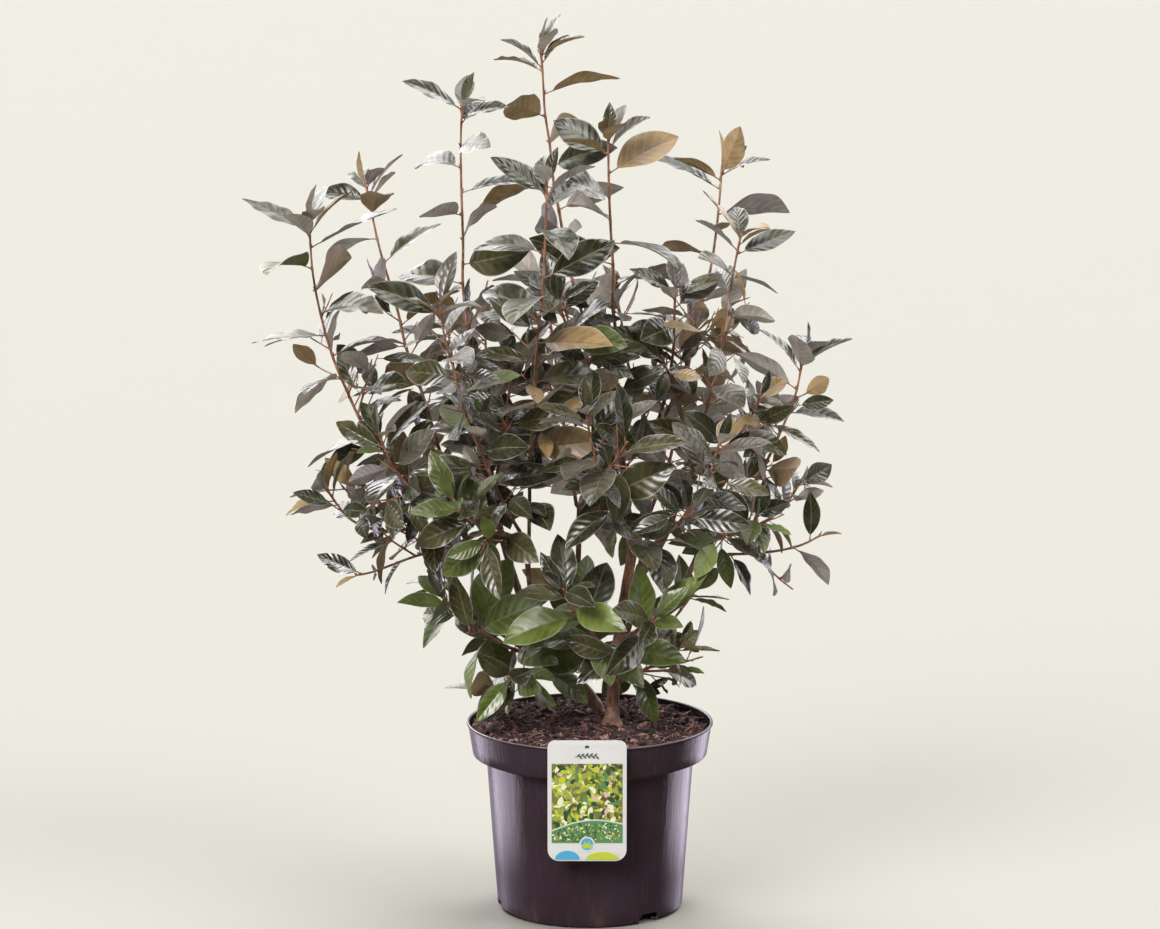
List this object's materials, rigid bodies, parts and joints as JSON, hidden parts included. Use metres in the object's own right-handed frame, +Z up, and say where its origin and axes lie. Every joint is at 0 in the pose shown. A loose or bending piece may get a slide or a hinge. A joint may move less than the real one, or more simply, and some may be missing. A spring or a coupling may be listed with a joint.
{
  "type": "potted shrub",
  "caption": "Young evergreen shrub with silvery green oval leaves on upright shoots, in a round dark nursery pot with a hanging card label.",
  "frame": {"origin": "centre of the pot's flat underside, on the floor", "axes": "+Z up the plant; the front, with the label, faces -Y"},
  "size_m": [0.7024, 0.5345, 1.0099],
  "materials": {
    "pot_plastic": "semi-gloss, scuffed",
    "compost": "loose, fibrous",
    "label_card": "satin print",
    "bark": "rough",
    "leaf": "satin, silvery"
  },
  "bodies": {
    "root": {"pot": "pot_plastic", "compost": "compost", "label": "label_card", "stem_left": "bark", "stem_right": "bark", "bough_left": "bark", "bough_middle": "bark", "bough_front": "bark", "bough_back_left": "bark", "bough_back": "bark", "bough_centre": "bark", "bough_right": "bark", "bough_right_back": "bark", "bough_right_low": "bark", "bough_back_right": "bark", "bough_front_right": "bark", "shoot_top": "leaf", "shoot_left_tall": "leaf", "shoot_centre": "leaf", "shoot_front_tall": "leaf", "shoot_left_outer": "leaf", "shoot_left_inner": "leaf", "shoot_right_back": "leaf", "shoot_right": "leaf", "shoot_right_outer": "leaf", "shoot_right_tip": "leaf", "shoot_left_low": "leaf", "shoot_front_left": "leaf", "shoot_front_centre": "leaf", "shoot_front_right": "leaf", "shoot_front_low": "leaf", "shoot_mid_left": "leaf", "shoot_mid_right": "leaf", "shoot_right_front": "leaf", "shoot_back_high": "leaf", "shoot_back_mid": "leaf", "shoot_back_left_high": "leaf", "shoot_back_left_low": "leaf", "shoot_back_right_high": "leaf", "shoot_back_right_low": "leaf", "shoot_low_left": "leaf", "shoot_low_back_left": "leaf", "shoot_foot_left": "leaf", "shoot_low_front": "leaf", "shoot_low_front_right": "leaf", "shoot_foot_right": "leaf", "shoot_low_back_right": "leaf", "shoot_low_back": "leaf", "shoot_mid_front": "leaf", "shoot_mid_centre": "leaf", "shoot_mid_back": "leaf", "shoot_centre_right": "leaf", "shoot_centre_back": "leaf"}
  },
  "joints": []
}
